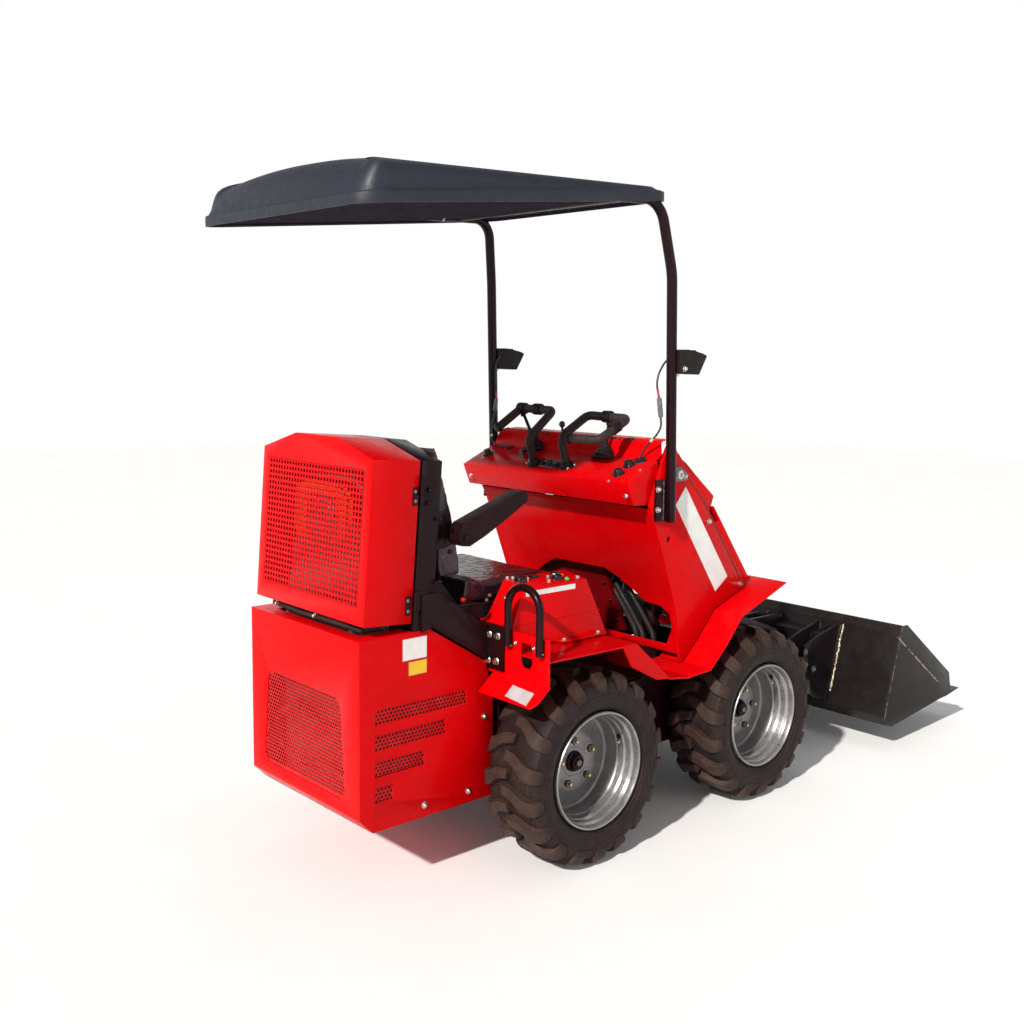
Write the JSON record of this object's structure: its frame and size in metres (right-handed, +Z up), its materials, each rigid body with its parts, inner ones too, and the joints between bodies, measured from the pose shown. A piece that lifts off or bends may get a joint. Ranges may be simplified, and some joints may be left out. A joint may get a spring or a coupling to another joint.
{
  "type": "mini skid steer loader",
  "caption": "Ride-on wheeled compact loader with rear engine housing, seat, control tower, lift boom with bucket, fenders and roof canopy on posts.",
  "frame": {"origin": "middle of the bounding box, on the ground under the wheels", "axes": "+Z up, the bucket end towards -Y, the machine's right side towards -X"},
  "size_m": [1.1, 2.808, 1.9842],
  "materials": {
    "red_paint": "glossy red paint",
    "black_paint": "semi-gloss black paint",
    "bucket_paint": "satin black paint, worn",
    "canopy_plastic": "grained charcoal plastic",
    "tyre_rubber": "black rubber, dusty",
    "rim_silver": "silver paint",
    "seat_vinyl": "black vinyl",
    "black_plastic": "black plastic",
    "rubber_grip": "foam rubber grip",
    "steel_rod": "polished rod",
    "zinc_steel": "zinc plated",
    "engine_metal": "cast metal"
  },
  "bodies": {
    "root": {"chassis_frame": "red_paint", "floor_plate": "black_paint", "wheel_motors": "black_paint", "engine_box": "red_paint", "engine_box_grilles": "red_paint", "engine_block": "engine_metal", "seat_frame": "black_paint", "seat_cushion": "seat_vinyl", "seat_back": "seat_vinyl", "seat_shell": "black_plastic", "seat_base": "black_paint", "rear_fender_right": "red_paint", "rear_fender_left": "red_paint", "grab_handles": "black_paint", "control_box_right": "red_paint", "control_box_left": "red_paint", "tower_frame": "red_paint", "console": "red_paint", "tower_top_cover": "red_paint", "boom_pivot_pins": "zinc_steel", "front_fender_right": "red_paint", "front_fender_left": "red_paint", "joysticks": "rubber_grip", "control_handles": "rubber_grip", "lamp_lead_right": "black_plastic", "lamp_lead_left": "black_plastic", "front_guards": "red_paint", "canopy_roof": "canopy_plastic", "canopy_frame": "black_paint", "work_lights": "black_plastic", "door_hinges": "black_paint", "cylinder_base_pins": "zinc_steel"},
    "engine_door": {"engine_door": "red_paint", "engine_door_grille": "red_paint"},
    "armrest_right": {"armrest_right": "rubber_grip"},
    "armrest_left": {"armrest_left": "rubber_grip"},
    "boom": {"boom_yoke": "red_paint", "boom_arms": "black_paint", "tilt_cylinder_pin": "zinc_steel"},
    "bucket": {"quick_attach": "black_paint", "bucket": "bucket_paint"},
    "lift_barrels": {"lift_cylinder_barrels": "black_paint"},
    "lift_rods": {"lift_cylinder_rods": "steel_rod"},
    "tilt_barrel": {"tilt_cylinder_barrel": "black_paint"},
    "tilt_rod": {"tilt_cylinder_rod": "steel_rod"},
    "wheel_rear_right": {"tyre_rear_right": "tyre_rubber", "rim_rear_right": "rim_silver"},
    "wheel_rear_left": {"tyre_rear_left": "tyre_rubber", "rim_rear_left": "rim_silver"},
    "wheel_front_right": {"tyre_front_right": "tyre_rubber", "rim_front_right": "rim_silver"},
    "wheel_front_left": {"tyre_front_left": "tyre_rubber", "rim_front_left": "rim_silver"}
  },
  "joints": [
    {"name": "wheel_rear_right_spin", "type": "hinge", "parent": "root", "child": "wheel_rear_right", "pos_m": [-0.421, 0.665, 0.285], "axis": [1, 0, 0], "continuous": true},
    {"name": "wheel_rear_left_spin", "type": "hinge", "parent": "root", "child": "wheel_rear_left", "pos_m": [0.421, 0.665, 0.285], "axis": [1, 0, 0], "continuous": true},
    {"name": "wheel_front_right_spin", "type": "hinge", "parent": "root", "child": "wheel_front_right", "pos_m": [-0.421, -0.119, 0.285], "axis": [1, 0, 0], "continuous": true},
    {"name": "wheel_front_left_spin", "type": "hinge", "parent": "root", "child": "wheel_front_left", "pos_m": [0.421, -0.119, 0.285], "axis": [1, 0, 0], "continuous": true},
    {"name": "engine_door_swing", "type": "hinge", "parent": "root", "child": "engine_door", "pos_m": [-0.282, 1.1339, 0.9611], "axis": [0, -0.0715, 0.9974], "range_deg": [0, 105]},
    {"name": "armrest_right_fold", "type": "hinge", "parent": "root", "child": "armrest_right", "pos_m": [-0.281, 0.991, 0.966], "axis": [-1, 0, 0], "range_deg": [0, 70]},
    {"name": "armrest_left_fold", "type": "hinge", "parent": "root", "child": "armrest_left", "pos_m": [0.281, 0.991, 0.966], "axis": [-1, 0, 0], "range_deg": [0, 70]},
    {"name": "boom_lift", "type": "hinge", "parent": "root", "child": "boom", "pos_m": [0, 0.209, 1.1], "axis": [-1, 0, 0], "range_deg": [-4, 80]},
    {"name": "bucket_tilt", "type": "hinge", "parent": "boom", "child": "bucket", "pos_m": [0, -0.706, 0.295], "axis": [1, 0, 0], "range_deg": [-20, 110]},
    {"name": "lift_barrel_swing", "type": "hinge", "parent": "root", "child": "lift_barrels", "pos_m": [0, 0.134, 0.345], "axis": [-1, 0, 0], "range_deg": [-6, 6]},
    {"name": "lift_rod_slide", "type": "slide", "parent": "lift_barrels", "child": "lift_rods", "axis": [0, -0.2421, 0.9702], "range_m": [-0.03, 0.4]},
    {"name": "tilt_barrel_swing", "type": "hinge", "parent": "boom", "child": "tilt_barrel", "pos_m": [0, -0.221, 0.7], "axis": [1, 0, 0], "range_deg": [-6, 6]},
    {"name": "tilt_rod_slide", "type": "slide", "parent": "tilt_barrel", "child": "tilt_rod", "axis": [0, -0.8422, -0.5391], "range_m": [-0.05, 0.2]}
  ],
  "couplings": [
    {"joint": "lift_barrel_swing", "follows": "boom_lift", "ratio": 0.04326},
    {"joint": "lift_rod_slide", "follows": "boom_lift", "m_per_rad": 0.27428},
    {"joint": "tilt_barrel_swing", "follows": "bucket_tilt", "ratio": 0.02543},
    {"joint": "tilt_rod_slide", "follows": "bucket_tilt", "m_per_rad": 0.0925}
  ]
}
